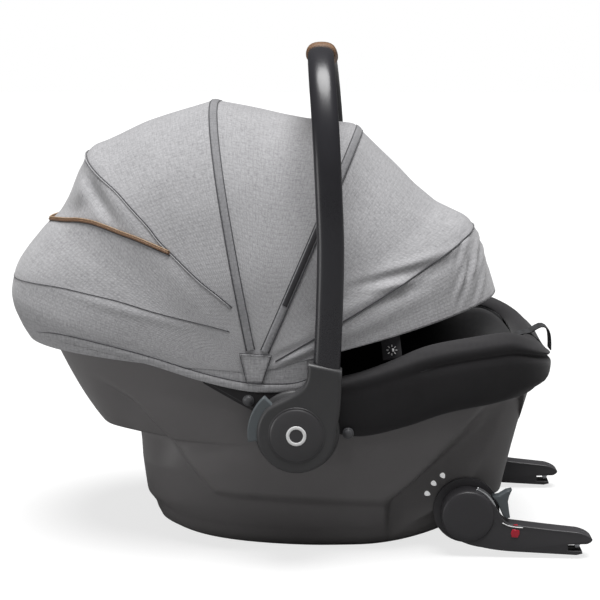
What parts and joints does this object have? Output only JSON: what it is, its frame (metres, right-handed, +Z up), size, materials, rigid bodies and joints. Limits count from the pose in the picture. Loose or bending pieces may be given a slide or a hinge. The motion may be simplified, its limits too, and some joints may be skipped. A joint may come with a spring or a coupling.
{
  "type": "infant car seat",
  "caption": "Rear-facing infant car seat: moulded shell, padded seat with harness, folding hood, swinging carry handle and swing-up anchor arms.",
  "frame": {"origin": "centre of the rocker's resting strip, on the ground plane", "axes": "+X from the head end towards the foot end and the anchor arms, +Z up, +Y across the seat"},
  "size_m": [0.7007, 0.4468, 0.596],
  "materials": {
    "shell": "fine grained matte",
    "foam": "moulded energy-absorbing foam",
    "black_cloth": "black woven cloth",
    "grey_cloth": "heather grey woven cloth",
    "grey_plastic": "blue-grey satin",
    "hub": "satin black",
    "tube": "smooth satin black",
    "leather": "tan stitched leatherette",
    "steel": "brushed",
    "webbing": "black harness webbing",
    "red_plastic": "red gloss",
    "bow": "black nylon"
  },
  "bodies": {
    "seat": {"outer_shell": "shell", "foam_liner": "foam", "seat_pad": "black_cloth", "rim_cover": "black_cloth", "cover_stud_rear_left": "grey_plastic", "cover_stud_rear_right": "grey_plastic", "cover_stud_front_left": "grey_plastic", "cover_stud_front_right": "grey_plastic", "handle_axle_left": "steel", "handle_axle_right": "steel", "hood_mount_left": "hub", "hood_mount_right": "hub", "isofix_boss_left": "hub", "isofix_boss_right": "hub", "hood_rear_cover": "grey_cloth", "shoulder_strap_left": "webbing", "shoulder_strap_right": "webbing", "chest_pad_left": "black_cloth", "chest_pad_right": "black_cloth", "crotch_strap": "webbing", "harness_buckle": "hub", "adjuster_housing": "hub", "adjuster_strap": "webbing"},
    "handle": {"handle_bow": "tube", "handle_grip": "leather", "handle_hub_left": "hub", "handle_hub_right": "hub", "hub_cap_left": "hub", "hub_cap_right": "hub"},
    "handle_button_left": {"handle_button_left": "grey_plastic"},
    "handle_button_right": {"handle_button_right": "grey_plastic"},
    "hood_1": {"hood_bow_1": "bow", "hood_panel_1": "grey_cloth"},
    "hood_2": {"hood_bow_2": "bow", "hood_panel_2": "grey_cloth"},
    "hood_3": {"hood_bow_3": "bow", "hood_panel_3": "grey_cloth"},
    "hood_4": {"hood_bow_4": "bow", "hood_panel_4": "grey_cloth", "hood_visor": "grey_cloth"},
    "connectors": {"isofix_cross_tube": "steel", "isofix_arm_left": "hub", "isofix_arm_right": "hub", "isofix_fork_left": "steel", "isofix_fork_right": "steel", "isofix_indicator_left": "red_plastic", "isofix_indicator_right": "red_plastic"},
    "isofix_lever_left": {"isofix_lever_left": "grey_plastic"},
    "isofix_lever_right": {"isofix_lever_right": "grey_plastic"},
    "isofix_hook_left": {"isofix_hook_left": "steel"},
    "isofix_hook_right": {"isofix_hook_right": "steel"},
    "head_support": {"head_support": "black_cloth"},
    "buckle_button": {"buckle_button": "red_plastic"},
    "adjuster_button": {"adjuster_button": "grey_plastic"}
  },
  "joints": [
    {"name": "handle_swing", "type": "hinge", "parent": "seat", "child": "handle", "pos_m": [-0.048, 0, 0.163], "axis": [0, -1, 0], "range_deg": [0, 105]},
    {"name": "handle_button_press_left", "type": "slide", "parent": "handle", "child": "handle_button_left", "axis": [0.9397, 0, -0.3419], "range_m": [0, 0.005], "stiffness_N_per_m": 900, "springref_m": -0.002},
    {"name": "handle_button_press_right", "type": "slide", "parent": "handle", "child": "handle_button_right", "axis": [0.9397, 0, -0.3419], "range_m": [0, 0.005], "stiffness_N_per_m": 900, "springref_m": -0.002},
    {"name": "hood_fold_1", "type": "hinge", "parent": "seat", "child": "hood_1", "pos_m": [-0.095, 0, 0.228], "axis": [0, -1, 0], "range_deg": [0, 19.6], "deforming": ["hood_panel_1"]},
    {"name": "hood_fold_2", "type": "hinge", "parent": "hood_1", "child": "hood_2", "pos_m": [-0.095, 0, 0.228], "axis": [0, -1, 0], "range_deg": [0, 13.4], "deforming": ["hood_panel_2"]},
    {"name": "hood_fold_3", "type": "hinge", "parent": "hood_2", "child": "hood_3", "pos_m": [-0.095, 0, 0.228], "axis": [0, -1, 0], "range_deg": [0, 8.5], "deforming": ["hood_panel_3"]},
    {"name": "hood_fold_4", "type": "hinge", "parent": "hood_3", "child": "hood_4", "pos_m": [-0.095, 0, 0.228], "axis": [0, -1, 0], "range_deg": [0, 31.5], "deforming": ["hood_panel_4"]},
    {"name": "isofix_swing", "type": "hinge", "parent": "seat", "child": "connectors", "pos_m": [0.149, 0, 0.049], "axis": [0, -1, 0], "range_deg": [0, 80]},
    {"name": "isofix_lever_pull_left", "type": "slide", "parent": "connectors", "child": "isofix_lever_left", "axis": [-1, 0, 0], "range_m": [0, 0.005], "stiffness_N_per_m": 900, "springref_m": -0.002},
    {"name": "isofix_hook_turn_left", "type": "hinge", "parent": "connectors", "child": "isofix_hook_left", "pos_m": [0.254, 0.14, 0.025], "axis": [0, -1, 0], "range_deg": [0, 30]},
    {"name": "isofix_lever_pull_right", "type": "slide", "parent": "connectors", "child": "isofix_lever_right", "axis": [-1, 0, 0], "range_m": [0, 0.005], "stiffness_N_per_m": 900, "springref_m": -0.002},
    {"name": "isofix_hook_turn_right", "type": "hinge", "parent": "connectors", "child": "isofix_hook_right", "pos_m": [0.254, -0.14, 0.025], "axis": [0, -1, 0], "range_deg": [0, 30]},
    {"name": "head_support_slide", "type": "slide", "parent": "seat", "child": "head_support", "axis": [-0.9061, 0, 0.423], "range_m": [0, 0.02]},
    {"name": "buckle_release", "type": "slide", "parent": "seat", "child": "buckle_button", "axis": [-0.3894, 0, -0.9211], "range_m": [0, 0.002], "stiffness_N_per_m": 2500, "springref_m": -0.001},
    {"name": "harness_adjuster_press", "type": "slide", "parent": "seat", "child": "adjuster_button", "axis": [0.7578, 0, -0.6524], "range_m": [0, 0.0015], "stiffness_N_per_m": 1500, "springref_m": -0.001}
  ],
  "couplings": [
    {"joint": "hood_fold_1", "follows": "hood_fold_4", "ratio": 0.62222},
    {"joint": "hood_fold_2", "follows": "hood_fold_4", "ratio": 0.4254},
    {"joint": "hood_fold_3", "follows": "hood_fold_4", "ratio": 0.26984},
    {"joint": "isofix_hook_turn_left", "follows": "isofix_lever_pull_left", "rad_per_m": 104.71},
    {"joint": "isofix_hook_turn_right", "follows": "isofix_lever_pull_right", "rad_per_m": 104.71}
  ]
}
